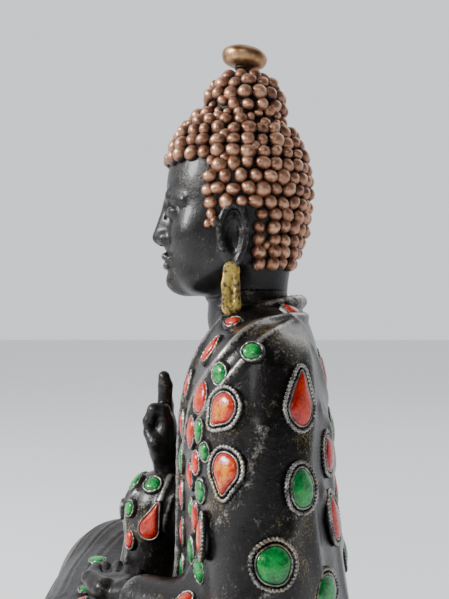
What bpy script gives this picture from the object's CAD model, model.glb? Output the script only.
import math
import bmesh
import bpy
import numpy as np
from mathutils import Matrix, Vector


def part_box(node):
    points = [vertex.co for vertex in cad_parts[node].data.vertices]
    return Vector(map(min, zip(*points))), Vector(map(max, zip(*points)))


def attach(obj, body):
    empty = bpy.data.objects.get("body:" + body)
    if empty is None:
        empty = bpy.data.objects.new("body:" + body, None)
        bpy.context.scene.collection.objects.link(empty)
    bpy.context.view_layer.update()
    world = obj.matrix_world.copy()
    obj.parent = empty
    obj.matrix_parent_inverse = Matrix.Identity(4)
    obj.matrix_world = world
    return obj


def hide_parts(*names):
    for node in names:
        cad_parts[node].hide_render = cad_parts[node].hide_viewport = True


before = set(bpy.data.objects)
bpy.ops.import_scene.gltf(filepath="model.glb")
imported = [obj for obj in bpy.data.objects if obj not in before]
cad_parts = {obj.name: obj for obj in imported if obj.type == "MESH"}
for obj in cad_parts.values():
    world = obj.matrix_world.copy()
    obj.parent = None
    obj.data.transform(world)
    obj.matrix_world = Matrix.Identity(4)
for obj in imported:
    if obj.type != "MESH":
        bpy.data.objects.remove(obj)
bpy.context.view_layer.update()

import openvdb
from mathutils import Vector
from mathutils.bvhtree import BVHTree

# ---- the board, felt and screws under the casting -------------------------
# A stained board closes the hollow casting, held by four screws into cast
# bosses, with a felt pad glued under it. All of them keep their frame shapes.
def link_mesh(name, mesh):
    piece = bpy.data.objects.new(name, mesh)
    bpy.context.scene.collection.objects.link(piece)
    return piece


class Wire:
    """A shader socket that takes part in plain sums; each sum adds its Math node."""
    def __init__(self, paint, socket):
        self.paint, self.socket = paint, socket

    def sum(self, operation, a, b=None):
        inputs = {0: a} if b is None else {0: a, 1: b}
        return self.paint.node("ShaderNodeMath", {"operation": operation}, inputs)

    def __add__(self, other):
        return self.sum("ADD", self, other)

    def __sub__(self, other):
        return self.sum("SUBTRACT", self, other)

    def __rsub__(self, other):
        return self.sum("SUBTRACT", other, self)

    def __mul__(self, other):
        return self.sum("MULTIPLY", self, other)

    __radd__, __rmul__ = __add__, __mul__


class Paint:
    """One material: a Principled shader and the nodes that feed it."""
    def __init__(self, name, **constants):
        self.material = bpy.data.materials.new(name)
        self.material.use_nodes = True
        self.tree = self.material.node_tree
        self.shader = self.tree.nodes["Principled BSDF"]
        for socket, value in constants.items():
            self.shader.inputs[socket.replace("_", " ")].default_value = value
        self.place = self.node("ShaderNodeTexCoord", {}, {}, "Object")

    def node(self, kind, settings, inputs, output=0):
        made = self.tree.nodes.new(kind)
        for key, value in settings.items():
            setattr(made, key, value)
        for key, value in inputs.items():
            if isinstance(value, Wire):
                self.tree.links.new(value.socket, made.inputs[key])
            else:
                made.inputs[key].default_value = value
        return Wire(self, made.outputs[output])

    def noise(self, scale, detail=3.0, rough=0.55):
        return self.node("ShaderNodeTexNoise", {}, {"Vector": self.place, "Scale": scale,
                                                    "Detail": detail, "Roughness": rough}, "Fac")

    def step(self, value, low, high):
        return self.node("ShaderNodeMapRange", {"interpolation_type": "SMOOTHSTEP"},
                         {"Value": value, "From Min": low, "From Max": high})

    def blend(self, factor, first, second):
        return self.node("ShaderNodeMix", {"data_type": "RGBA"}, {0: factor, 6: first, 7: second}, 2)

    def attribute(self, name):
        return self.node("ShaderNodeAttribute", {"attribute_name": name}, {}, "Fac")

    def bump(self, height, strength, distance):
        return self.node("ShaderNodeBump", {}, {"Height": height, "Strength": strength,
                                                "Distance": distance}, "Normal")

    def feed(self, **sockets):
        for socket, wire in sockets.items():
            self.tree.links.new(wire.socket, self.shader.inputs[socket.replace("_", " ")])
        return self.material


def rgb(r, g, b):
    return (r, g, b, 1.0)


def stained_wood():
    paint = Paint("stained_wood", Coat_Roughness=0.3)
    stretched = paint.node("ShaderNodeMapping", {}, {"Vector": paint.place, "Scale": (3, 40, 40)})
    grain = paint.node("ShaderNodeTexNoise", {}, {"Vector": stretched, "Scale": 5.0, "Detail": 6.0})
    colour = paint.blend(paint.step(grain, 0.35, 0.65), rgb(0.035, 0.018, 0.01), rgb(0.11, 0.06, 0.03))
    return paint.feed(Base_Color=colour, Roughness=grain * 0.3 + 0.35, Normal=paint.bump(grain, 0.3, 0.0006))


def felt():
    paint = Paint("felt", Sheen_Weight=0.4)
    fuzz = paint.noise(900.0, 4.0, 0.7)
    colour = paint.blend(fuzz, rgb(0.008, 0.02, 0.012), rgb(0.03, 0.065, 0.04))
    return paint.feed(Base_Color=colour, Roughness=fuzz * 0.1 + 0.88, Normal=paint.bump(fuzz, 0.8, 0.0005))


def plain_metal(name, dark, light):
    paint = Paint(name, Metallic=1.0)
    marks = paint.noise(160.0, 5.0, 0.6)
    colour = paint.blend(paint.step(marks, 0.35, 0.65), dark, light)
    return paint.feed(Base_Color=colour, Roughness=marks * 0.2 + 0.25,
                      Normal=paint.bump(marks, 0.15, 0.0003))


def repaint(node, material):
    """A frame node that keeps its shape and gets a better finish."""
    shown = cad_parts[node]
    shown.data.materials.clear()
    shown.data.materials.append(material)


steel = plain_metal("screw_steel", rgb(0.3, 0.3, 0.3), rgb(0.6, 0.6, 0.6))
repaint("base_plate", stained_wood())
repaint("felt_pad", felt())
repaint("base_screws", steel)


# ---- the robe: torso, sleeves and rolled edges ----------------------------
# Cast in one with the chest: a heavy robe worn open over both shoulders, its
# edges rolled, the right sleeve gathered over the raised forearm. Painted
# antique black and rubbed with silver on the high places. Shaped in millimetres.
MM = 0.001


class Space:
    """A block of points, in millimetres, on which distances are worked out."""
    def __init__(self, low, high, cell):
        self.low, self.cell = np.array(low, np.float32), cell
        axes = [np.arange(low[i], high[i] + cell, cell, dtype=np.float32) for i in range(3)]
        self.x, self.y, self.z = np.meshgrid(*axes, indexing="ij", sparse=True)

    def limb(self, a, b, ra, rb):
        """Distance to a tapering round limb from a to b."""
        a, b = np.array(a, float), np.array(b, float)
        axis = b - a
        share = ((self.x - a[0]) * axis[0] + (self.y - a[1]) * axis[1]
                 + (self.z - a[2]) * axis[2]) / float(axis @ axis)
        share = np.clip(share, 0, 1)
        away = np.sqrt((self.x - a[0] - share * axis[0]) ** 2 + (self.y - a[1] - share * axis[1]) ** 2
                       + (self.z - a[2] - share * axis[2]) ** 2)
        return away - (ra + (rb - ra) * share)

    def ball(self, centre, radii):
        """Distance, near enough, to an ellipsoid."""
        p = [(grid - c) / r for grid, c, r in zip((self.x, self.y, self.z), centre, radii)]
        q = [(grid - c) / r ** 2 for grid, c, r in zip((self.x, self.y, self.z), centre, radii)]
        near = np.sqrt(p[0] ** 2 + p[1] ** 2 + p[2] ** 2)
        slope = np.sqrt(q[0] ** 2 + q[1] ** 2 + q[2] ** 2) + 1e-6
        return near * (near - 1) / slope

    def chain(self, points, radii, soft=3.0):
        """A limb through several points."""
        field = None
        for a, b, ra, rb in zip(points, points[1:], radii, radii[1:]):
            piece = self.limb(a, b, ra, rb)
            field = piece if field is None else join(field, piece, soft)
        return field

    def mesh(self, name, field):
        """The zero surface as a smooth closed mesh, in metres, faces outwards."""
        grid = openvdb.FloatGrid(10.0)
        grid.copyFromArray(np.ascontiguousarray(field, np.float32))
        points, quads = grid.convertToQuads()
        points = (points * self.cell + self.low) * MM
        mesh = bpy.data.meshes.new(name)
        mesh.from_pydata(points.tolist(), [], quads.tolist())
        mesh.validate()
        return outward(mesh)


def join(a, b, soft):
    """Union of two distances with a fillet about as wide as soft."""
    mix = np.clip(0.5 + 0.5 * (b - a) / soft, 0, 1)
    return b + (a - b) * mix - soft * mix * (1 - mix)


def carve(a, b, soft):
    """a with b taken out of it."""
    return -join(-a, b, soft)


def outward(mesh):
    """Turns every face to point out and shades it smooth."""
    work = bmesh.new()
    work.from_mesh(mesh)
    if work.calc_volume(signed=True) < 0:
        bmesh.ops.reverse_faces(work, faces=work.faces)
    work.to_mesh(mesh)
    work.free()
    mesh.shade_smooth()
    return mesh


def points_of(mesh):
    out = np.empty(len(mesh.vertices) * 3)
    mesh.vertices.foreach_get("co", out)
    return out.reshape(-1, 3)


def normals_of(mesh):
    out = np.empty(len(mesh.vertices) * 3)
    mesh.vertex_normals.foreach_get("vector", out)
    return out.reshape(-1, 3)


def set_points(mesh, points):
    mesh.vertices.foreach_set("co", points.ravel())
    mesh.update()


def edges_of(mesh):
    out = np.empty(len(mesh.edges) * 2, int)
    mesh.edges.foreach_get("vertices", out)
    return out.reshape(-1, 2)


def spread(values, edges, rounds):
    """Averages a value at each vertex with its neighbours', several times."""
    count = np.bincount(edges.ravel(), minlength=len(values)) + 1e-9
    for _ in range(rounds):
        total = (np.bincount(edges[:, 0], values[edges[:, 1]], len(values))
                 + np.bincount(edges[:, 1], values[edges[:, 0]], len(values)))
        values = 0.5 * values + 0.5 * total / count
    return values


def mark(mesh, name, values):
    """Stores one number per vertex for the paint to read."""
    mesh.attributes.new(name, "FLOAT", "POINT").data.foreach_set("value", values.astype(np.float32))


def mark_relief(mesh, rounds, scale):
    """How far each place stands above (over 0.5) or below its surroundings."""
    edges, points, normals = edges_of(mesh), points_of(mesh), normals_of(mesh)
    soft = np.stack([spread(points[:, i], edges, rounds) for i in range(3)], 1)
    height = ((points - soft) * normals).sum(1)
    mark(mesh, "relief", np.clip(0.5 + height / (2 * scale), 0, 1))


def ridge(points, route, width, height):
    """Lift, in metres, of a fold that runs along a route of millimetre points."""
    lift = np.full(len(points), 1e9)
    for a, b in zip(route, route[1:]):
        a, b = np.array(a, float) * MM, np.array(b, float) * MM
        axis = b - a
        share = np.clip((points - a) @ axis / (axis @ axis), 0, 1)
        lift = np.minimum(lift, np.linalg.norm(points - a - share[:, None] * axis, axis=1))
    return height * MM * np.exp(-(lift / (width * MM)) ** 2)


def curved(route, steps=6):
    """More points on a smooth path through a route."""
    route = np.array(route, float)
    ends = np.vstack([2 * route[0] - route[1], route, 2 * route[-1] - route[-2]])
    out = []
    for p0, p1, p2, p3 in zip(ends, ends[1:], ends[2:], ends[3:]):
        for t in np.linspace(0, 1, steps, endpoint=False):
            out.append(0.5 * (2 * p1 + (p2 - p0) * t + (2 * p0 - 5 * p1 + 4 * p2 - p3) * t ** 2
                              + (3 * p1 - p0 - 3 * p2 + p3) * t ** 3))
    return out + [route[-1]]


def mirror(route):
    return [(-x, y, z) for x, y, z in route]


FOOT_Z, NECK_Z = 10.0, 298.0
FINE = 1.56
# height, half-width, front and back of the cloth, from the foot to the neck
TORSO = [(10, 114, -60, 76), (56, 110, -55, 72), (105, 106, -46, 66), (160, 108, -46, 58),
         (212, 107, -46, 54), (246, 100, -42, 49), (269, 86, -34, 45), (286, 61, -29, 40), (298, 35, -28, 34)]
ELBOW_L, ELBOW_R = (100, 2, 98), (-100, -2, 140)
WRIST_L, WRIST_R = (40, -70, 103), (-46, -60, 142)
EDGE = [(0, 35, 300), (25, 28, 300), (38, 4, 294), (35, -23, 280), (25, -39, 252),
        (19, -46, 214), (18, -47, 168), (20, -48, 122), (24, -52, 98)]


def torso_field(space):
    """Distance to the robe over chest and back, a rounded oval at every height."""
    table = np.array(curved(TORSO))
    half, front, back = (np.interp(space.z, table[:, 0], table[:, i]) for i in (1, 2, 3))
    across, along = np.abs(space.x) / half, np.abs(space.y - (front + back) / 2) / ((back - front) / 2)
    level = (across ** 2.3 + along ** 2.3 + 1e-9) ** (1 / 2.3)
    away = np.sqrt(space.x ** 2 + (space.y - (front + back) / 2) ** 2)
    side = away * (1 - 1 / level)
    return np.maximum(side * 0.85, space.z - NECK_Z)


def opening(space):
    """1 on the bare chest between the robe's rolled edges, 0 on the cloth."""
    heights = [z for _, _, z in EDGE][::-1]
    widths = [x for x, _, _ in EDGE][::-1]
    edge = np.interp(space.z, heights, widths)
    return np.clip((edge - np.abs(space.x)) / 3, 0, 1) * np.clip((-8 - space.y) / 8, 0, 1)


def robe_field(space):
    field = torso_field(space)
    arms = [space.chain([(74, 4, 256), ELBOW_L, WRIST_L], (30, 29, 18), 8),
            space.chain([(-74, 4, 256), ELBOW_R, WRIST_R], (30, 30, 26), 8)]
    for arm in arms:
        field = join(field, arm, 16)
    sleeve = join(space.ball(WRIST_R, (30, 33, 33)), space.limb(WRIST_R, (-52, -68, 88), 27, 30), 8)
    field = join(field, sleeve, 7)
    field = field + 4.5 * opening(space)
    chest = join(space.ball((-15, -29, 262), (17, 8, 14)), space.ball((15, -29, 262), (17, 8, 14)), 6)
    field = join(field, chest, 8)
    for side in (1, -1):
        route = [(side * x, y, z) for x, y, z in curved(EDGE, 4)]
        field = join(field, space.chain(route, [4.2] * len(route), 1.0), 3.0)
    field = join(field, space.limb((0, -3, 290), (0, -2, 304), 27, 27), 6)
    return np.maximum(field, 70 - space.z)


def snapped(tree, route, aim):
    """Route points moved along aim onto the outside of a piece."""
    out = []
    aim = Vector(aim)
    for point in curved(route, 4):
        start = Vector(point) * MM - aim
        hit = tree.ray_cast(start, aim)[0]
        if hit:
            out.append(tuple(hit / MM))
    return out


def tree_of(mesh):
    mesh.calc_loop_triangles()
    return BVHTree.FromPolygons([v.co for v in mesh.vertices], [p.vertices for p in mesh.polygons])


space = Space((-140, -112, 66), (142, 86, 310), FINE)
robe_mesh = space.mesh("robe", robe_field(space))

# folds drawn as side-view or front-view lines, with width and height of each
SIDE_FOLDS = [([(0, 36, 290), (0, 18, 289), (0, -2, 284), (0, -20, 266), (0, -36, 240),
                (0, -43, 205)], 3.4, 3.2),
              ([(0, 26, 287), (0, 8, 280), (0, -8, 264), (0, -24, 244), (0, -36, 222)], 3.2, 2.2),
              ([(0, 30, 285), (0, 34, 240), (0, 30, 200), (0, 38, 140)], 7, 2.0),
              ([(0, 4, 225), (0, -8, 190), (0, -26, 165), (0, -40, 130)], 6, 1.8),
              ([(0, 24, 180), (0, 8, 140), (0, -14, 118), (0, -40, 108)], 6, 2.2),
              ([(0, 45, 230), (0, 50, 180), (0, 56, 130), (0, 62, 100)], 6, 1.6)]
SLEEVE_FOLDS = [([(0, -58, 171), (0, -66, 152), (0, -74, 131)], 2.6, 2.4),
                ([(0, -55, 160), (0, -60, 148), (0, -63, 136)], 2.6, 1.8)]
BACK_FOLDS = [([(-60, 0, 270), (-30, 0, 240), (0, 0, 232), (30, 0, 240), (60, 0, 270)], 6, 2.2),
              ([(-78, 0, 235), (-36, 0, 196), (0, 0, 186), (36, 0, 196), (78, 0, 235)], 6, 2.2),
              ([(-86, 0, 185), (-40, 0, 146), (0, 0, 136), (40, 0, 146), (86, 0, 185)], 6, 2.2)]


def fold_robe(mesh):
    points, tree = points_of(mesh), tree_of(mesh)
    lift = np.zeros(len(points))
    for route, width, height in SIDE_FOLDS:
        for side in (1, -1):
            lift += ridge(points, snapped(tree, route, (-side, 0, 0)), width, height)
    for route, width, height in BACK_FOLDS:
        lift += ridge(points, snapped(tree, route, (0, -1, 0)), width, height)
    for shift in (-14, 0, 14):
        x = WRIST_R[0] + shift
        drop = [(x, 0, 160), (x - 2, 0, 128), (x - 5, 0, 92)]
        lift += ridge(points, snapped(tree, drop, (0, 1, 0)), 3, 1.8)
    for route, width, height in SLEEVE_FOLDS:
        lift += ridge(points, snapped(tree, route, (-1, 0, 0)), width, height)
    set_points(mesh, points + normals_of(mesh) * lift[:, None])


fold_robe(robe_mesh)
mark_relief(robe_mesh, 16, 0.0010)


def antique_black(name, silver, gold, sheen):
    """Black cast resin: silver rubbed on what stands up, gold dust in patches."""
    paint = Paint(name, Coat_Weight=0.12, Coat_Roughness=0.12, Specular_IOR_Level=0.3)
    relief = paint.attribute("relief")
    broad, fine, specks = paint.noise(30, 4), paint.noise(210, 4, 0.65), paint.noise(800, 3, 0.6)
    rub = paint.step(relief + (fine - 0.5) * 0.8 + (specks - 0.5) * 0.6, 0.64, 1.02)
    dust = paint.step(broad + (fine - 0.5) * 0.4, 0.52, 0.74) * paint.step(specks, 0.46, 0.60)
    patches = paint.step(broad + relief * 0.4, 0.60, 0.85)
    flecks = paint.step(specks + (fine - 0.5) * 0.5, 0.60, 0.74) * patches
    base = paint.blend(fine, rgb(0.0022, 0.0018, 0.0017), rgb(0.009, 0.0072, 0.0064))
    base = paint.blend(dust * gold, base, rgb(0.24, 0.175, 0.065))
    base = paint.blend(flecks * silver * 0.6, base, rgb(0.34, 0.32, 0.29))
    base = paint.blend(rub * silver, base, rgb(0.40, 0.375, 0.34))
    height = fine * 0.7 + specks * 0.4
    return paint.feed(Base_Color=base, Metallic=rub * 0.8 + dust * gold * 0.5,
                      Roughness=fine * 0.26 + sheen, Normal=paint.bump(height, 0.55, 0.0010))


robe_paint = antique_black("antique_black", 0.85, 0.85, 0.17)
robe = link_mesh("robe", robe_mesh)
robe_mesh.materials.append(robe_paint)

# ---- the cloth over the crossed legs ---------------------------------------
# The robe's skirt drawn tight over thighs, knees and crossed shins, with thin
# cut fold lines that follow the limbs, flat underneath where the board closes it.
KNEE, HIP, ANKLE = (154, -104, 48), (62, 16, 46), (24, -130, 42)


def legs_field(space):
    field = space.ball((0, -78, 36), (118, 74, 60))
    for side in (1, -1):
        knee, hip = (side * KNEE[0], *KNEE[1:]), (side * HIP[0], *HIP[1:])
        field = join(field, space.limb(hip, knee, 56, 58), 14)
        field = join(field, space.limb(knee, (-side * ANKLE[0], *ANKLE[1:]), 57, 38), 10)
    back = space.ball((0, 20, 50), (118, 56, 70))
    field = join(field, back, 18)
    return np.maximum(field, FOOT_Z - space.z)


space = Space((-216, -172, 4), (216, 84, 126), FINE * 1.2)
legs_mesh = space.mesh("leg_cloth", legs_field(space))
# cut lines over a knee, seen from above and in front
KNEE_LINES = [[(40, -150, 0), (90, -152, 0), (140, -140, 0), (176, -108, 0)],
              [(30, -138, 0), (86, -136, 0), (132, -124, 0), (164, -98, 0), (150, -60, 0)],
              [(24, -124, 0), (80, -120, 0), (124, -106, 0), (146, -80, 0), (126, -40, 0)],
              [(60, -100, 0), (104, -90, 0), (122, -66, 0), (100, -24, 0)]]


def fold_legs(mesh):
    points, tree = points_of(mesh), tree_of(mesh)
    lift = np.zeros(len(points))
    for route in KNEE_LINES:
        for line in (route, mirror(route)):
            top = snapped(tree, line, (0, 0, -1))
            lift -= ridge(points, top, 1.8, 1.5)
            lift += ridge(points, top, 5.5, 1.2)
    set_points(mesh, points + normals_of(mesh) * lift[:, None])


fold_legs(legs_mesh)
mark_relief(legs_mesh, 10, 0.0009)
legs_mesh.materials.append(antique_black("leg_black", 0.3, 0.2, 0.26))
leg_cloth = link_mesh("leg_cloth", legs_mesh)
for piece in (robe, leg_cloth):
    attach(piece, "root")
    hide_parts("robe_casting")

# ---- the head ----------------------------------------------------------------
# A separate casting with neck, ears and topknot, doweled to the shoulders. The
# face is a plain, calm one on equal thirds: hairline, brow, nose base, chin.
CHIN, HAIRLINE, FRONT = 307.0, 402.0, -56.5
THIRD = (HAIRLINE - CHIN) / 3
BROW, NOSE_BASE = HAIRLINE - THIRD, HAIRLINE - 2 * THIRD
EYE, MOUTH = BROW - 9.5, NOSE_BASE - THIRD / 3
SKULL = (0, -10, 376)
HEAD_CELL = 0.84


def skull_field(space):
    upper = space.ball(SKULL, (43, 48.5, 61))
    lower = space.ball(SKULL, (43, 48.5, 78))
    return np.where(space.z > SKULL[2], upper, lower)


def face_field(space):
    """Skull, jaw, cheeks, brow, nose, lips and lowered lids, mirrored about the middle."""
    x = space.x
    space.x = np.abs(x)
    field = skull_field(space)
    jaw = space.chain([(0, -43, CHIN + 8), (17, -36, CHIN + 11), (32, -14, CHIN + 24)], (9, 9, 9), 8)
    field = join(field, jaw, 12)
    field = join(field, space.ball((0, -33, MOUTH + 3), (21, 23, 22)), 14)
    field = join(field, space.ball((20, -36, EYE - 15), (15, 15, 15)), 13)
    field = join(field, space.ball((0, -48, CHIN + 7), (9, 10.5, 8)), 7)
    field = carve(field, space.ball((16.5, FRONT - 2.5, EYE + 1), (12.5, 9, 7.5)), 6)
    brow = space.chain([(4, FRONT + 1.5, BROW - 2), (15, FRONT + 1.8, BROW + 2),
                        (28, FRONT + 11, BROW - 2)], (3.2, 2.8, 1.8), 3)
    field = join(field, brow, 6)
    wedge = space.chain([(0, FRONT + 5, BROW - 5), (0, FRONT + 2.5, EYE - 6),
                         (0, FRONT + 1.5, NOSE_BASE + 6)], (6.0, 7.0, 8.6), 3)
    field = join(field, wedge, 6)
    bridge = space.limb((0, FRONT + 1.2, BROW - 2), (0, FRONT - 7.6, NOSE_BASE + 6.4), 3.4, 4.4)
    field = join(field, bridge, 6)
    field = join(field, space.ball((6.0, FRONT - 1.6, NOSE_BASE + 5.0), (4.0, 5.4, 4.2)), 4)
    field = carve(field, space.ball((3.4, FRONT - 3.6, NOSE_BASE + 0.6), (1.8, 2.6, 1.4)), 1.5)
    field = join(field, space.ball((16, FRONT + 6.5, EYE), (10.2, 7.6, 6.4)), 2.5)
    slit = space.chain([(6.5, FRONT - 2.2, EYE - 2.6), (15, FRONT - 3.6, EYE - 4.4),
                        (25.5, FRONT + 2.5, EYE - 2.4)], (0.9, 1.3, 0.8), 1)
    field = carve(field, slit, 0.8)
    crease = space.chain([(6.5, FRONT + 0.8, EYE + 3.4), (16, FRONT + 0.2, EYE + 6),
                          (26, FRONT + 5.5, EYE + 3)], (0.7, 0.8, 0.6), 1)
    field = carve(field, crease, 1.2)
    upper_lip = space.chain([(0, FRONT - 2.5, MOUTH + 2.4), (5, FRONT - 2.6, MOUTH + 3.2),
                             (12.5, FRONT + 2.2, MOUTH + 0.6)], (2.2, 2.4, 1.0), 2)
    field = join(field, upper_lip, 1.8)
    lower_lip = space.chain([(0, FRONT - 1.8, MOUTH - 3.2), (6, FRONT - 0.6, MOUTH - 2.8),
                             (11.5, FRONT + 2.6, MOUTH)], (2.9, 2.5, 1.0), 2)
    field = join(field, lower_lip, 1.8)
    parting = space.chain([(0, FRONT - 5.2, MOUTH - 0.2), (6, FRONT - 3.8, MOUTH),
                           (13.4, FRONT + 1.6, MOUTH + 0.9)], (0.7, 0.7, 0.8), 1)
    field = carve(field, parting, 0.9)
    groove = space.limb((0, FRONT - 4.2, NOSE_BASE - 1.5), (0, FRONT - 5.4, MOUTH + 6), 1.2, 1.6)
    field = carve(field, groove, 1.6)
    space.x = x
    return field


def ear_field(space, field):
    """Shell of the ear with its rolled rim, hollow and flap."""
    x = space.x
    space.x = np.abs(x)
    shell = space.ball((40.5, -12.5, 344), (5.2, 9.5, 19.5))
    field = join(field, shell, 2.5)
    field = carve(field, space.ball((47.5, -12.5, 342), (5.6, 5.6, 12.5)), 1.5)
    rim = curved([(43.5, -20, 336), (44.5, -21, 350), (45, -15.5, 361.5), (45, -7, 360.5),
                  (44.5, -4, 348), (44, -6, 334), (43.5, -10, 325)], 5)
    field = join(field, space.chain(rim, [2.3] * len(rim), 1), 1.5)
    fold = space.chain([(43, -9, 355), (43.5, -6.5, 345), (43, -9, 333)], (1.4, 1.8, 1.6), 2)
    field = join(field, fold, 1.5)
    field = join(field, space.limb((43, -19.5, 339), (43, -18.5, 335), 2.2, 2.0), 1.5)
    space.x = x
    return field


def head_field(space):
    field = ear_field(space, face_field(space))
    neck = space.chain([(0, -1, 292), (0, -1, 318), (0, -4, 336)], (27.5, 26.5, 26), 4)
    field = join(field, neck, 8)
    for height in (296, 303.5):
        crease = np.abs(space.z - height - (space.y + 30) * 0.10)
        field = field + 0.9 * np.exp(-(crease / 1.2) ** 2) * (space.z < 308)
    knot = space.ball((0, -4, 431.5), (24.5, 25, 26))
    return np.maximum(join(field, knot, 6), 292 - space.z)


space = Space((-52, -76, 288), (52, 48, 462), HEAD_CELL)
head_mesh = space.mesh("head", head_field(space))
mark_relief(head_mesh, 10, 0.0007)
head_mesh.materials.append(antique_black("antique_skin", 0.5, 0.12, 0.24))
head = link_mesh("head", head_mesh)
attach(head, "root")
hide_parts("head_casting")

# ---- the gilded earlobes -------------------------------------------------------
# Long lobes with a slit, laid with gold that has worn to dark specks.
def gilding():
    paint = Paint("gilding", Coat_Weight=0.2, Coat_Roughness=0.25)
    broad, specks = paint.noise(120, 4), paint.noise(480, 4, 0.7)
    worn = paint.step(specks + (broad - 0.5) * 0.5, 0.36, 0.5)
    gold = paint.blend(paint.step(broad, 0.3, 0.7), rgb(0.26, 0.16, 0.03), rgb(0.66, 0.48, 0.12))
    return paint.feed(Base_Color=paint.blend(worn, rgb(0.03, 0.022, 0.012), gold), Metallic=worn * 0.85,
                      Roughness=specks * 0.3 + 0.22, Normal=paint.bump(specks, 0.6, 0.0008))


EARLOBE_X = 42.5


def lobe_field(space, side):
    """A soft flat drop with a slit through it."""
    x = side * EARLOBE_X
    wide = space.chain([(x, -13.5, 321), (x, -14, 311), (x, -13.5, 297.2)], (6.4, 6.4, 7.4), 3)
    flat = np.maximum(wide, np.abs(space.x - x) - 2.8)
    field = -join(-flat, -wide, 3.0)
    face = x + side * 3.2
    slit = space.chain([(face, -12.6, 317), (face, -13, 309), (face, -12.8, 301)], (1.0, 1.7, 1.3), 1)
    return carve(field, slit, 1.2)


gold_leaf = gilding()
for side, name in ((1, "left_earlobe"), (-1, "right_earlobe")):
    space = Space((side * EARLOBE_X - 10, -24, 286), (side * EARLOBE_X + 10, -3, 332), 0.5)
    lobe = link_mesh(name + "_drop", space.mesh(name + "_drop", lobe_field(space, side)))
    lobe.data.materials.append(gold_leaf)
    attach(lobe, "root")
    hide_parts(name)

# ---- the hair: hand-set pellets ---------------------------------------------------
# Small irregular balls of paste set in rows over scalp and topknot while soft,
# painted copper rose; the black of the scalp stays in the gaps between them.
def islands(node):
    """Each separate solid of a frame node as its vertices and its faces, welded."""
    work = bmesh.new()
    work.from_mesh(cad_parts[node].data)
    bmesh.ops.remove_doubles(work, verts=work.verts, dist=1e-6)
    seen, out = set(), []
    for vert in work.verts:
        if vert in seen:
            continue
        seen.add(vert)
        group, edge = [vert], [vert]
        while edge:
            for link in edge.pop().link_edges:
                for other in link.verts:
                    if other not in seen:
                        seen.add(other)
                        group.append(other)
                        edge.append(other)
        faces = {face for member in group for face in member.link_faces}
        corners = np.array([list(member.co) for member in group])
        flats = [(face.calc_area(), face.normal.copy()) for face in faces]
        out.append((corners, flats))
    work.free()
    return out


def foot_direction(flats):
    """Outward direction of the flat that a glued piece stands on."""
    sums = {}
    for area, normal in flats:
        key = tuple(round(c, 2) for c in normal)
        sums[key] = sums.get(key, 0) + area
    key = max(sums, key=sums.get)
    return Vector(key).normalized()


def pellet_nodes(material, seed):
    """Geometry Nodes: one lumpy ball on every point, turned to the point's direction."""
    tree = bpy.data.node_groups.new("set_pellets", "GeometryNodeTree")
    face = tree.interface
    face.new_socket("Points", in_out="INPUT", socket_type="NodeSocketGeometry")
    face.new_socket("Pellets", in_out="OUTPUT", socket_type="NodeSocketGeometry")
    sizes = {}
    for name, value in (("Radius", 0.0047), ("Lumps", 0.0009)):
        socket = face.new_socket(name, in_out="INPUT", socket_type="NodeSocketFloat")
        socket.default_value = value
        sizes[name] = socket.identifier
    nodes, links = tree.nodes, tree.links

    def add(kind, settings=None, **wires):
        made = nodes.new(kind)
        for key, value in (settings or {}).items():
            setattr(made, key, value)
        for key, value in wires.items():
            socket = made.inputs[int(key[1:]) if key[0] == "_" else key]
            if hasattr(value, "is_linked"):
                links.new(value, socket)
            else:
                socket.default_value = value
        return made

    group_in, group_out = nodes.new("NodeGroupInput"), nodes.new("NodeGroupOutput")
    ball = add("GeometryNodeMeshIcoSphere", Radius=1.0, Subdivisions=3)
    aim = add("GeometryNodeInputNamedAttribute", {"data_type": "FLOAT_VECTOR"}, Name="aim")
    turn = add("FunctionNodeAlignRotationToVector", {"axis": "Z"}, Vector=aim.outputs[0])
    spin = add("FunctionNodeRandomValue", {"data_type": "FLOAT_VECTOR"}, _0=(0.84, 0.84, 0.86),
               _1=(1.12, 1.14, 1.06), Seed=seed)
    size = add("GeometryNodeInputNamedAttribute", {"data_type": "FLOAT"}, Name="size")
    sized = add("ShaderNodeVectorMath", {"operation": "SCALE"}, _0=spin.outputs[0], Scale=size.outputs[0])
    grown = add("ShaderNodeVectorMath", {"operation": "SCALE"}, _0=sized.outputs[0],
                Scale=group_in.outputs["Radius"])
    placed = add("GeometryNodeInstanceOnPoints", Points=group_in.outputs["Points"],
                 Instance=ball.outputs["Mesh"], Rotation=turn.outputs[0], Scale=grown.outputs[0])
    real = add("GeometryNodeRealizeInstances", Geometry=placed.outputs[0])
    noise = add("ShaderNodeTexNoise", Scale=170.0, Detail=1.5)
    centred = add("ShaderNodeVectorMath", {"operation": "SUBTRACT"}, _0=noise.outputs["Color"],
                  _1=(0.5, 0.5, 0.5))
    lumps = add("ShaderNodeVectorMath", {"operation": "SCALE"}, _0=centred.outputs[0],
                Scale=group_in.outputs["Lumps"])
    moved = add("GeometryNodeSetPosition", Geometry=real.outputs[0], Offset=lumps.outputs[0])
    smooth = add("GeometryNodeSetShadeSmooth", Geometry=moved.outputs[0])
    painted = add("GeometryNodeSetMaterial", {}, Geometry=smooth.outputs[0], Material=material)
    links.new(painted.outputs[0], group_out.inputs[0])
    return tree, sizes


def grown_mesh(name, seeds, tree, sizes):
    """The tree's result as a plain mesh piece, with its modifier gone."""
    maker = link_mesh(name, seeds)
    modifier = maker.modifiers.new("grow", "NODES")
    modifier.node_group = tree
    for socket, value in sizes.items():
        modifier[socket] = value
    bpy.context.view_layer.update()
    done = bpy.data.meshes.new_from_object(maker.evaluated_get(bpy.context.evaluated_depsgraph_get()))
    maker.modifiers.remove(modifier)
    maker.data = done
    return maker


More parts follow.
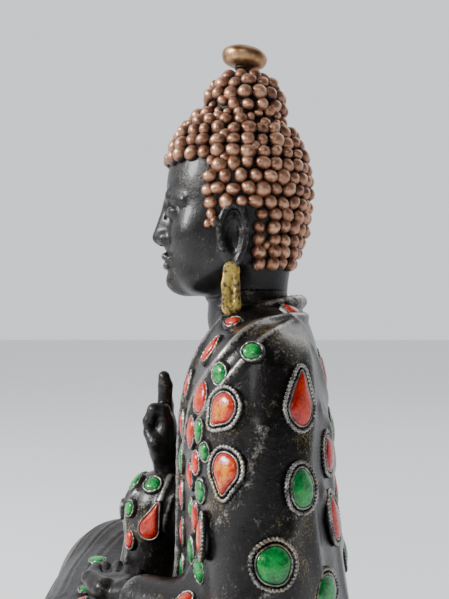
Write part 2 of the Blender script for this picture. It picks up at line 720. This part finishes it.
def copper_paint():
    paint = Paint("copper_paint", Coat_Weight=0.15, Coat_Roughness=0.3)
    lift = paint.attribute("lift")
    broad, specks = paint.noise(90, 3), paint.noise(420, 4, 0.65)
    clean = paint.step(lift + (specks - 0.5) * 0.5 + (broad - 0.5) * 0.4, 0.46, 0.86)
    copper = paint.blend(paint.step(broad, 0.3, 0.7), rgb(0.22, 0.085, 0.042), rgb(0.50, 0.25, 0.145))
    rim = paint.step(lift + (specks - 0.5) * 0.5, 0.82, 1.1)
    copper = paint.blend(rim * 0.6, copper, rgb(0.85, 0.54, 0.37))
    return paint.feed(Base_Color=paint.blend(clean, rgb(0.02, 0.013, 0.01), copper),
                      Metallic=clean * 0.7, Roughness=specks * 0.25 + 0.24,
                      Normal=paint.bump(specks + broad, 0.4, 0.0005))


def on_scalp(points):
    """Which places, in millimetres, carry hair: behind the hairline, clear of ears and finial."""
    x, y, z = points.T
    low = (z > 324) & (y > -28) & ~((y < 2) & (z < 365))
    temple = (y > -29) & (y < -23) & (z > 350) & (z < 380)
    seat = (np.hypot(x, y + 4) < 11.5) & (z > 440)
    return ((z > 400) | low | temple) & ~seat


# radius of a ball, least distance between two, depth set into the scalp, and unevenness
PELLET, CLOSE, SUNK, STRAY, LUMPS = 0.0051, 0.0062, 0.0012, 0.0005, 0.0014
FILLER_TRIES = 9000
copper = copper_paint()
random = np.random.default_rng(7)
GROUPS = ("topknot_pellets", "crown_pellets", "temple_pellets", "nape_pellets")
centres, aims, sizes_of, group_of = [], [], [], []
for group, node in enumerate(GROUPS):
    for corners, flats in islands(node):
        aim = -foot_direction(flats)
        centre = Vector((corners.min(0) + corners.max(0)) / 2)
        foot = min((Vector(c) - centre).dot(aim) for c in corners)
        centres.append(np.array(centre + aim * (foot + SUNK)) + random.normal(0, STRAY, 3))
        aims.append(np.array(aim))
        sizes_of.append(random.uniform(0.9, 1.08))
        group_of.append(group)
# smaller pellets pushed into the gaps that the rows leave
scalp = points_of(head_mesh)
bare = np.flatnonzero(on_scalp(scalp / MM))
normals = normals_of(head_mesh)
for place in random.permutation(bare)[:FILLER_TRIES]:
    spot = scalp[place] + normals[place] * 0.0007
    apart = np.linalg.norm(np.array(centres) - spot, axis=1)
    if apart.min() > CLOSE:
        group_of.append(group_of[int(apart.argmin())])
        centres.append(spot)
        aims.append(normals[place])
        sizes_of.append(random.uniform(0.62, 0.84))
centres, aims, sizes_of, group_of = map(np.array, (centres, aims, sizes_of, group_of))
for group, node in enumerate(GROUPS):
    own = group_of == group
    seeds = bpy.data.meshes.new(node + "_points")
    seeds.from_pydata(centres[own].tolist(), [], [])
    seeds.attributes.new("aim", "FLOAT_VECTOR", "POINT").data.foreach_set("vector", aims[own].ravel())
    mark(seeds, "size", sizes_of[own])
    tree, sizes = pellet_nodes(copper, 10 + group)
    pellets = grown_mesh(node + "_set", seeds, tree, {sizes["Radius"]: PELLET, sizes["Lumps"]: LUMPS})
    points = points_of(pellets.data)
    index = np.arange(len(points)) // (len(points) // own.sum())
    lift = ((points - centres[own][index]) * aims[own][index]).sum(1) / (PELLET * sizes_of[own][index])
    mark(pellets.data, "lift", np.clip(0.5 + 0.5 * lift, 0, 1))
    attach(pellets, "root")
    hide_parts(node)

# ---- the finial ------------------------------------------------------------------
# A turned brass bun on a short dark stem, studded into the topknot and leaning
# back a little; its skin is satin, with a burnished rim and brown in the hollow.
def turned(name, profile, centre, tilt, steps=72):
    """A solid of revolution from (radius, height) points in millimetres, leaning back."""
    rows = curved(profile, 6)
    points, faces = [], []
    for radius, height in rows:
        for step in range(steps):
            a = 2 * math.pi * step / steps
            points.append((radius * math.cos(a), radius * math.sin(a), height))
    for row in range(len(rows) - 1):
        for step in range(steps):
            a, b = row * steps + step, row * steps + (step + 1) % steps
            faces.append((a, b, b + steps, a + steps))
    faces.append(tuple(range(steps))[::-1])
    faces.append(tuple(range((len(rows) - 1) * steps, len(rows) * steps)))
    points = np.array(points)
    c, s = math.cos(math.radians(tilt)), math.sin(math.radians(tilt))
    turned_y = points[:, 1] * c + points[:, 2] * s
    turned_z = points[:, 2] * c - points[:, 1] * s
    points = np.stack([points[:, 0], turned_y, turned_z], 1) * MM + np.array(centre)
    mesh = bpy.data.meshes.new(name)
    mesh.from_pydata(points.tolist(), [], faces)
    return link_mesh(name, outward(mesh))


def satin_bronze(name, dark, light):
    paint = Paint(name, Metallic=0.9)
    ring = paint.node("ShaderNodeMapping", {}, {"Vector": paint.place, "Scale": (60, 60, 900)})
    lines = paint.node("ShaderNodeTexNoise", {}, {"Vector": ring, "Scale": 1.0, "Detail": 4.0})
    broad = paint.noise(110, 4)
    colour = paint.blend(paint.step(broad, 0.3, 0.7), dark, light)
    return paint.feed(Base_Color=colour, Roughness=broad * 0.25 + 0.26,
                      Normal=paint.bump(lines + broad * 0.5, 0.25, 0.0003))


knob_low, knob_high = (Vector(corner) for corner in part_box("finial_knob"))
knob_centre = (knob_low + knob_high) / 2
knob_r = (knob_high.x - knob_low.x) / 2 / MM
knob = turned("finial_bun", [(0.4, -6.6), (knob_r * 0.5, -6.9), (knob_r * 0.86, -5.0), (knob_r - 0.1, -0.6),
                             (knob_r * 0.93, 3.4), (knob_r * 0.62, 6.3), (knob_r * 0.3, 7.0), (0.4, 7.1)],
              knob_centre, 9)
knob.data.materials.append(satin_bronze("satin_bronze", rgb(0.22, 0.11, 0.05), rgb(0.50, 0.31, 0.16)))
stem_low, stem_high = (Vector(corner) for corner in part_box("finial_stem"))
stem_mid = ((stem_low.x + stem_high.x) / 2, (stem_low.y + stem_high.y) / 2, stem_low.z)
stem_tall = (stem_high.z - stem_low.z) / MM
stem = turned("finial_neck", [(0.3, 0), (6.6, 0.2), (7.0, 2.4), (6.2, 4.2), (6.0, 6.4),
                              (6.9, stem_tall - 0.6), (0.3, stem_tall)], stem_mid, 0)
stem.data.materials.append(satin_bronze("dark_bronze", rgb(0.03, 0.02, 0.012), rgb(0.10, 0.07, 0.04)))
for piece, node, finish in ((knob, "finial_knob", "satin_bronze"), (stem, "finial_stem", "dark_bronze")):
    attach(piece, "root")
    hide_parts(node)
repaint("finial_stud", steel)
dowel_paint = Paint("dowel_wood")
dowel_grain = dowel_paint.noise(60, 5)
dowel_paint.feed(Base_Color=dowel_paint.blend(dowel_grain, rgb(0.4, 0.27, 0.14), rgb(0.6, 0.44, 0.26)),
                 Roughness=dowel_grain * 0.2 + 0.5)
repaint("neck_dowel", dowel_paint.material)

# ---- the hands ---------------------------------------------------------------------
# Cast apart and plugged into the sleeves. The right one is raised with thumb and
# first finger touching; the left one lies open in the lap.
HAND, HEEL = (-46.0, -62.0), 176.0
FINGER_GAP = 8.2


def raised_field(space):
    x, y = HAND
    palm_top = HEEL + 42
    wrist = space.chain([(x, y + 1, HEEL - 8), (x, y, HEEL + 6), (x - 1, y, HEEL + 14)], (9.5, 9.6, 10.5), 4)
    palm = space.ball((x - 2, y, HEEL + 26), (17.5, 8.5, 19))
    pad = space.ball((x + 8, y - 5, HEEL + 17), (8, 7, 13))
    field = join(join(wrist, palm, 6), pad, 6)
    for place, top, lean in ((-0.15, 69.5, -1.5), (-1.15, 66, -2.2), (-2.05, 58, -2.8)):
        fx = x + place * FINGER_GAP
        finger = space.chain([(fx, y, palm_top - 10), (fx, y - 1, palm_top + 2),
                              (fx - 0.2, y + lean + 1, HEEL + top - 9),
                              (fx, y + lean, HEEL + top - 2)], (5.8, 5.7, 5.3, 4.4), 2)
        field = join(field, finger, 1.6)
    fx = x + FINGER_GAP
    first = space.chain([(fx - 1, y, palm_top - 9), (fx, y - 2, palm_top + 1),
                         (fx + 1, y - 8, palm_top + 1.5), (fx, y - 12, palm_top - 7),
                         (fx - 1, y - 12, palm_top - 13)], (5.6, 5.4, 5.0, 4.6, 4.0), 2)
    field = join(field, first, 2.5)
    thumb = space.chain([(x + 8, y - 3, HEEL + 12), (x + 13, y - 7, HEEL + 20), (x + 9, y - 11.5, HEEL + 26)],
                        (7.4, 5.8, 4.6), 2)
    field = join(field, thumb, 3.0)
    for place in (-0.65, -1.6):
        fx = x + place * FINGER_GAP
        crease = space.limb((fx, y - 10, palm_top - 2), (fx, y - 10, palm_top + 20), 1.0, 0.8)
        field = carve(field, crease, 1.0)
    return np.maximum(field, HEEL - 10 - space.z)


def lap_field(space):
    heel = (22.8, -85.1, 103)
    field = space.chain([(35, -74.5, 103), heel], (9.6, 9.8), 3)
    palm = space.ball((5, -93, 102.5), (22, 18.5, 7.5))
    field = join(field, palm, 7)
    field = join(field, space.ball((6, -106, 105), (13, 7, 6.5)), 5)
    field = carve(field, space.ball((0, -94, 112), (14, 11, 5)), 4)
    for row, (long, curl) in enumerate(((54, 5.5), (60, 4), (61, 3), (54, 3.5))):
        y = -106 + row * FINGER_GAP
        base, tip = heel[0] - 28, heel[0] - long
        finger = space.chain([(base, y, 101), ((base + tip) / 2, y + 0.3, 100.4), (tip, y + 0.5, 100 + curl)],
                             (5.6, 5.1, 4.0), 2)
        field = join(field, finger, 2.0)
    thumb = space.chain([(heel[0] - 4, -100, 105), (heel[0] - 20, -112, 107), (heel[0] - 38, -110, 109)],
                        (8, 5.4, 4.2), 2)
    return join(field, thumb, 3.0)


skin_paint = antique_black("hand_black", 0.35, 0.1, 0.24)
HANDS = (("teaching_hand", ((-74, -90, 164), (-20, -46, 254)), raised_field, "raised_hand"),
         ("resting_hand", ((-52, -124, 88), (46, -60, 120)), lap_field, "lap_hand"))
for name, corners, make, node in HANDS:
    space = Space(*corners, 0.6)
    hand = link_mesh(name, space.mesh(name, make(space)))
    mark_relief(hand.data, 10, 0.0006)
    hand.data.materials.append(skin_paint)
    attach(hand, "root")
    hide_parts(node)

# ---- stones, bezels and rope rings ---------------------------------------------------
# Poured enamel stones, domed and slightly uneven, each in a raised cast bezel with a
# beaded lip; the large ones have a twisted wire round them. Silver paint, rubbed.
robe_tree, legs_tree = tree_of(robe_mesh), tree_of(legs_mesh)


def seat_of(corners, flats):
    """Where a stone sits: its foot's middle, its directions across, along and out, and its size."""
    out = -foot_direction(flats)
    middle = corners.mean(0)
    flat = corners - middle
    flat = flat - np.outer(flat @ np.array(out), np.array(out))
    apart = np.linalg.norm(flat[:, None] - flat[None], axis=2)
    first, second = np.unravel_index(apart.argmax(), apart.shape)
    along = (flat[first] - flat[second]) / apart.max()
    spans = flat @ along
    if abs(spans.min()) > abs(spans.max()):
        along, spans = -along, -spans
    across = np.cross(along, np.array(out))
    widths = flat @ across
    middle = middle + along * (spans.max() + spans.min()) / 2 + across * (widths.max() + widths.min()) / 2
    return Vector(middle), Vector(across), Vector(along), out, np.ptp(widths), np.ptp(spans)


def on_cloth(middle, out):
    """The stone's place brought onto the shaped cloth."""
    best = None
    for tree in (robe_tree, legs_tree):
        hit = tree.ray_cast(middle + out * 0.03, -out)[0]
        if hit and (best is None or (hit - middle).dot(out) > (best - middle).dot(out)):
            best = hit
    return best if best else middle


def outline(kind, wide, tall, steps=56):
    """Closed outline of a stone, evenly stepped, its corners eased as poured enamel eases them."""
    if kind == "marquise":
        bow = (tall ** 2 / wide + wide) / 4
        t = np.linspace(-1, 1, 60) * math.asin(min(1, tall / 2 / bow))
        side = np.stack([bow * np.cos(t) - bow + wide / 2, bow * np.sin(t)], 1)
        path = np.vstack([side[:-1], -side[:-1]])
    elif kind == "teardrop":
        belly, low = wide / 2, wide / 2 - tall / 2
        touch = math.asin(min(0.95, belly / (tall / 2 - low)))
        t = np.linspace(touch, -math.pi - touch, 80)
        path = np.stack([belly * np.cos(t), low + belly * np.sin(t)], 1)
        path = np.vstack([path, [(0, tall / 2)]])
    else:
        t = np.linspace(0, -2 * math.pi, 90, endpoint=False)
        path = np.stack([np.cos(t) * wide / 2, np.sin(t) * tall / 2], 1)
    closed = np.vstack([path, path[:1]])
    gone = np.concatenate([[0], np.linalg.norm(np.diff(closed, axis=0), axis=1).cumsum()])
    at = np.linspace(0, gone[-1], steps, endpoint=False)
    even = np.stack([np.interp(at, gone, closed[:, i]) for i in (0, 1)], 1)
    for _ in range(2):
        even = 0.5 * even + 0.25 * (np.roll(even, 1, 0) + np.roll(even, -1, 0))
    return even


def outward_sides(loop):
    """At each point of an outline, the direction away from its middle."""
    lean = np.roll(loop, -1, 0) - np.roll(loop, 1, 0)
    side = np.stack([-lean[:, 1], lean[:, 0]], 1)
    side /= np.linalg.norm(side, axis=1)[:, None] + 1e-12
    return side if (side * loop).sum() >= 0 else -side


def on_seat(seat, flat, height):
    """An outline's points in space, at a height above the seat they lie on."""
    middle, across, along, out = (np.array(part) for part in seat)
    return flat[:, :1] * across + flat[:, 1:] * along + middle + out * height


def swept(seat, loop, profile):
    """Rings of an outline: each profile row is (grow outwards, height), in metres."""
    side = outward_sides(loop)
    return [on_seat(seat, loop + side * grow, height) for grow, height in profile]


DOME = np.linspace(0, math.pi / 2 - 0.06, 9)
GIRDLE, STONE_FOOT = 0.0012, -0.0035


def stone_rings(seat, loop, rise):
    """A cabochon: straight girdle, then a dome that closes over the middle."""
    rings = [on_seat(seat, loop, STONE_FOOT)]
    for turn in DOME:
        rings.append(on_seat(seat, loop * math.cos(turn) ** 0.8, GIRDLE + rise * math.sin(turn)))
    return rings


class Pile:
    """Several ringed solids gathered into one mesh, with numbers per vertex for the paint."""
    def __init__(self):
        self.points, self.faces, self.marks = [], [], {}

    def add(self, rings, closed, **marks):
        start, steps, count = sum(len(p) for p in self.points), len(rings[0]), len(rings)
        self.points.extend(rings)
        last = count if closed else count - 1
        for row in range(last):
            low, high = start + row * steps, start + (row + 1) % count * steps
            for step in range(steps):
                nxt = (step + 1) % steps
                self.faces.append((low + step, low + nxt, high + nxt, high + step))
        if not closed:
            self.faces.append(tuple(start + step for step in range(steps))[::-1])
            self.faces.append(tuple(start + (count - 1) * steps + step for step in range(steps)))
        for name, values in marks.items():
            self.marks.setdefault(name, []).extend(np.broadcast_to(values, (count * steps,)))

    def piece(self, name, paint, slot, node):
        mesh = bpy.data.meshes.new(name)
        mesh.from_pydata(np.vstack(self.points).tolist(), [], self.faces)
        work = bmesh.new()
        work.from_mesh(mesh)
        bmesh.ops.recalc_face_normals(work, faces=work.faces)
        work.to_mesh(mesh)
        work.free()
        mesh.shade_smooth()
        for key, values in self.marks.items():
            mark(mesh, key, np.array(values))
        mesh.materials.append(paint)
        made = link_mesh(name, mesh)
        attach(made, "root")
        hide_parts(node)
        return made


def enamel(name, deep, bright, glow, glow_amount):
    """Poured enamel: cloudy colour under a wet gloss, brighter or darker in the middle."""
    paint = Paint(name, Coat_Weight=0.4, Coat_Roughness=0.06, IOR=1.45)
    middle = paint.attribute("middle")
    cloud, specks = paint.noise(150, 4, 0.6), paint.noise(620, 3, 0.6)
    colour = paint.blend(paint.step(cloud + (specks - 0.5) * 0.5, 0.3, 0.72), deep, bright)
    centre = paint.step(middle + (cloud - 0.5) * 1.2 + (specks - 0.5) * 0.9, 0.62, 1.12) * glow_amount
    colour = paint.blend(centre, colour, glow)
    chip = paint.step(specks + (cloud - 0.5) * 0.4, 0.68, 0.76) * 0.7
    colour = paint.blend(chip, colour, rgb(0.03, 0.02, 0.015))
    return paint.feed(Base_Color=colour, Roughness=specks * 0.2 + 0.16,
                      Normal=paint.bump(cloud + specks * 0.5, 0.5, 0.0008))


def rubbed_silver(name):
    paint = Paint(name)
    lift = paint.attribute("lift")
    fine, specks = paint.noise(260, 4, 0.65), paint.noise(800, 3, 0.6)
    patchy = paint.noise(75, 3)
    rub = paint.step(lift + (fine - 0.5) * 1.1 + (patchy - 0.5) * 1.2 + (specks - 0.5) * 0.5, 0.60, 1.05)
    gold = paint.step(paint.noise(35, 3), 0.52, 0.62) * 0.6
    bright = paint.blend(gold, rgb(0.38, 0.36, 0.33), rgb(0.32, 0.23, 0.10))
    return paint.feed(Base_Color=paint.blend(rub, rgb(0.010, 0.009, 0.008), bright), Metallic=rub * 0.85,
                      Roughness=fine * 0.3 + 0.16, Normal=paint.bump(fine + specks, 0.5, 0.0005))


ENAMELS = {"red": enamel("red_stone", rgb(0.30, 0.006, 0.003), rgb(0.68, 0.022, 0.006),
                         rgb(0.78, 0.085, 0.01), 0.4),
           "green": enamel("green_stone", rgb(0.0, 0.09, 0.016), rgb(0.002, 0.33, 0.05),
                           rgb(0.01, 0.42, 0.07), 0.5),
           "orange": enamel("orange_stone", rgb(0.42, 0.012, 0.003), rgb(0.66, 0.034, 0.005),
                            rgb(0.74, 0.27, 0.015), 0.9)}
bezel_paint, rope_paint = rubbed_silver("bezel_silver"), rubbed_silver("rope_silver")
roped_at = [Vector((c.min(0) + c.max(0)) / 2) for c, _ in islands("rope_rings")]
bezels = {kind: Pile() for kind in ("marquise", "teardrop", "oval")}
ropes = Pile()
random = np.random.default_rng(11)
# a bezel's height and wall, how deep it is let in, and where the rope lies outside it
LIP, WALL, LET_IN = 0.0021, 0.0018, -0.003
ROPE_R, ROPE_TWIST, ROPE_STEPS = 0.0014, 0.0024, 240
ROPE_SECTION = np.linspace(0, 2 * math.pi, 9, endpoint=False)


def rope_rings(seat, loop, grow):
    """Twisted wire: a two-lobed section that turns as it goes round the stone."""
    index = np.linspace(0, len(loop), ROPE_STEPS, endpoint=False)
    whole, part = index.astype(int), (index % 1)[:, None]
    path = loop[whole % len(loop)] * (1 - part) + loop[(whole + 1) % len(loop)] * part
    side = outward_sides(path)
    path = path + side * grow
    length = np.linalg.norm(np.roll(path, -1, 0) - path, axis=1).cumsum()
    turns = round(length[-1] / ROPE_TWIST)
    rings = []
    for a in ROPE_SECTION:
        phase = a - 2 * math.pi * turns * length / length[-1]
        radius = (ROPE_R * (1 + 0.20 * np.cos(phase)))[:, None]
        rings.append(on_seat(seat, path + side * radius * math.cos(a),
                             ROPE_R / 2 + radius * math.sin(a)))
    return rings


def uneven(loop, wave):
    """The outline as a hand-poured stone has it, a little out of true."""
    turn = np.linspace(0, 2 * math.pi, len(loop), endpoint=False)
    return loop * (1 + 0.025 * np.sin(turn * 3 + wave) + 0.015 * np.sin(turn * 5 + 2 * wave))[:, None]


def bezel_rings(seat, loop, tall):
    """A raised rim with beads along its top, as a closed ring of sections."""
    half = WALL / 2
    profile = [(0.0001, LET_IN), (0.0001, LIP * 0.55), (half * 0.5, LIP * 0.95), (half, LIP * 1.08),
               (half * 1.5, LIP * 0.95), (WALL, LIP * 0.5), (WALL * 1.35, -0.0004), (WALL * 1.35, LET_IN)]
    rings = swept(seat, loop, profile)
    turn = np.linspace(0, 2 * math.pi, len(loop), endpoint=False)
    beads = 0.00022 * np.sin(turn * round(tall / 0.0011))
    for ring in rings[2:5]:
        ring += np.array(seat[3]) * beads[:, None]
    return rings


BEZEL_LIFT = (0, 0.25, 0.85, 1.0, 0.85, 0.4, 0.05, 0)
ROPE_LIFT = 0.5 + 0.5 * np.sin(ROPE_SECTION)
for colour, kinds in (("red", ("marquise", "teardrop", "oval")), ("green", ("marquise", "oval")),
                      ("orange", ("teardrop", "oval"))):
    for kind in kinds:
        pile = Pile()
        for corners, flats in islands(colour + "_" + kind + "s"):
            middle, across, along, out, wide, tall = seat_of(corners, flats)
            roped = any((middle - at).length < 0.006 for at in roped_at)
            seat = (on_cloth(middle, out), across, along, out)
            wave = random.uniform(0, 6.28)
            loop = uneven(outline(kind, wide, tall), wave)
            rings = stone_rings(seat, loop * 1.03, 0.0016 + min(wide, tall) * 0.10)
            pile.add(rings, False, middle=np.repeat([0.0, *np.sin(DOME)], len(loop)))
            bezels[kind].add(bezel_rings(seat, loop, tall), True, lift=np.repeat(BEZEL_LIFT, len(loop)))
            if roped:
                rings = rope_rings(seat, loop, WALL * 1.35 + ROPE_R)
                ropes.add(rings, True, lift=np.repeat(ROPE_LIFT, ROPE_STEPS))
        pile.piece(colour + "_" + kind + "_cabochons", ENAMELS[colour], colour + "_stone",
                   colour + "_" + kind + "s")
for kind, pile in bezels.items():
    pile.piece(kind + "_settings", bezel_paint, "bezel_silver", kind + "_bezels")
ropes.piece("twisted_rims", rope_paint, "rope_silver", "rope_rings")

# ---- the studio ------------------------------------------------------------------------
# A plain pale floor, a soft light in front of the figure, a weak one on its left
# and one behind, and the camera on its left side, level with the shoulders.
floor_mesh = bpy.data.meshes.new("floor")
floor_mesh.from_pydata([(-6, -6, 0), (6, -6, 0), (6, 6, 0), (-6, 6, 0)], [], [(0, 1, 2, 3)])
floor_paint = Paint("pale_floor", Roughness=0.9)
floor_paint.shader.inputs["Base Color"].default_value = rgb(0.80, 0.81, 0.83)
floor_paint.shader.inputs["Emission Color"].default_value = rgb(0.90, 0.91, 0.94)
floor_paint.shader.inputs["Emission Strength"].default_value = 0.35
floor_mesh.materials.append(floor_paint.material)
floor = link_mesh("floor", floor_mesh)

world = bpy.data.worlds.new("studio")
bpy.context.scene.world = world
world.use_nodes = True
sky, links = world.node_tree.nodes, world.node_tree.links
way, parts = sky.new("ShaderNodeTexCoord"), sky.new("ShaderNodeSeparateXYZ")
links.new(way.outputs["Generated"], parts.inputs[0])
fade = sky.new("ShaderNodeMapRange")
fade.interpolation_type = "SMOOTHSTEP"
PALE, DIM = 1.12, 0.06
for socket, value in (("From Min", -0.5), ("From Max", 0.5), ("To Min", PALE), ("To Max", DIM)):
    fade.inputs[socket].default_value = value
links.new(parts.outputs["X"], fade.inputs["Value"])
seen, shown = sky.new("ShaderNodeLightPath"), sky.new("ShaderNodeMix")
links.new(seen.outputs["Is Camera Ray"], shown.inputs[0])
links.new(fade.outputs["Result"], shown.inputs[2])
shown.inputs[3].default_value = PALE
links.new(shown.outputs[0], sky["Background"].inputs["Strength"])
sky["Background"].inputs["Color"].default_value = rgb(0.90, 0.92, 0.96)


def soft_light(name, place, target, size, power):
    lamp = bpy.data.lights.new(name, "AREA")
    lamp.shape, lamp.size, lamp.energy = "DISK", size, power
    made = bpy.data.objects.new(name, lamp)
    made.location = place
    made.rotation_euler = (Vector(target) - Vector(place)).to_track_quat("-Z", "Y").to_euler()
    bpy.context.scene.collection.objects.link(made)


soft_light("key", (0.42, -1.35, 0.98), (0, 0, 0.3), 0.42, 38)
soft_light("fill", (1.7, -0.5, 1.1), (0, 0, 0.25), 0.5, 5)
soft_light("back", (-1.2, 0.9, 1.3), (0, 0, 0.3), 1.0, 4)

DISTANCE, AXIS_Y, LEVEL, FRAME_TALL = 0.62, -0.018, 0.3015, 0.4193
camera = bpy.data.cameras.new("camera")
camera.sensor_fit = "VERTICAL"
camera.angle = 2 * math.atan(FRAME_TALL / 2 / DISTANCE)
camera.clip_start = 0.01
viewer = bpy.data.objects.new("camera", camera)
viewer.location = (DISTANCE, AXIS_Y, LEVEL)
viewer.rotation_euler = (math.radians(90), 0, math.radians(90))
bpy.context.scene.collection.objects.link(viewer)
bpy.context.scene.camera = viewer
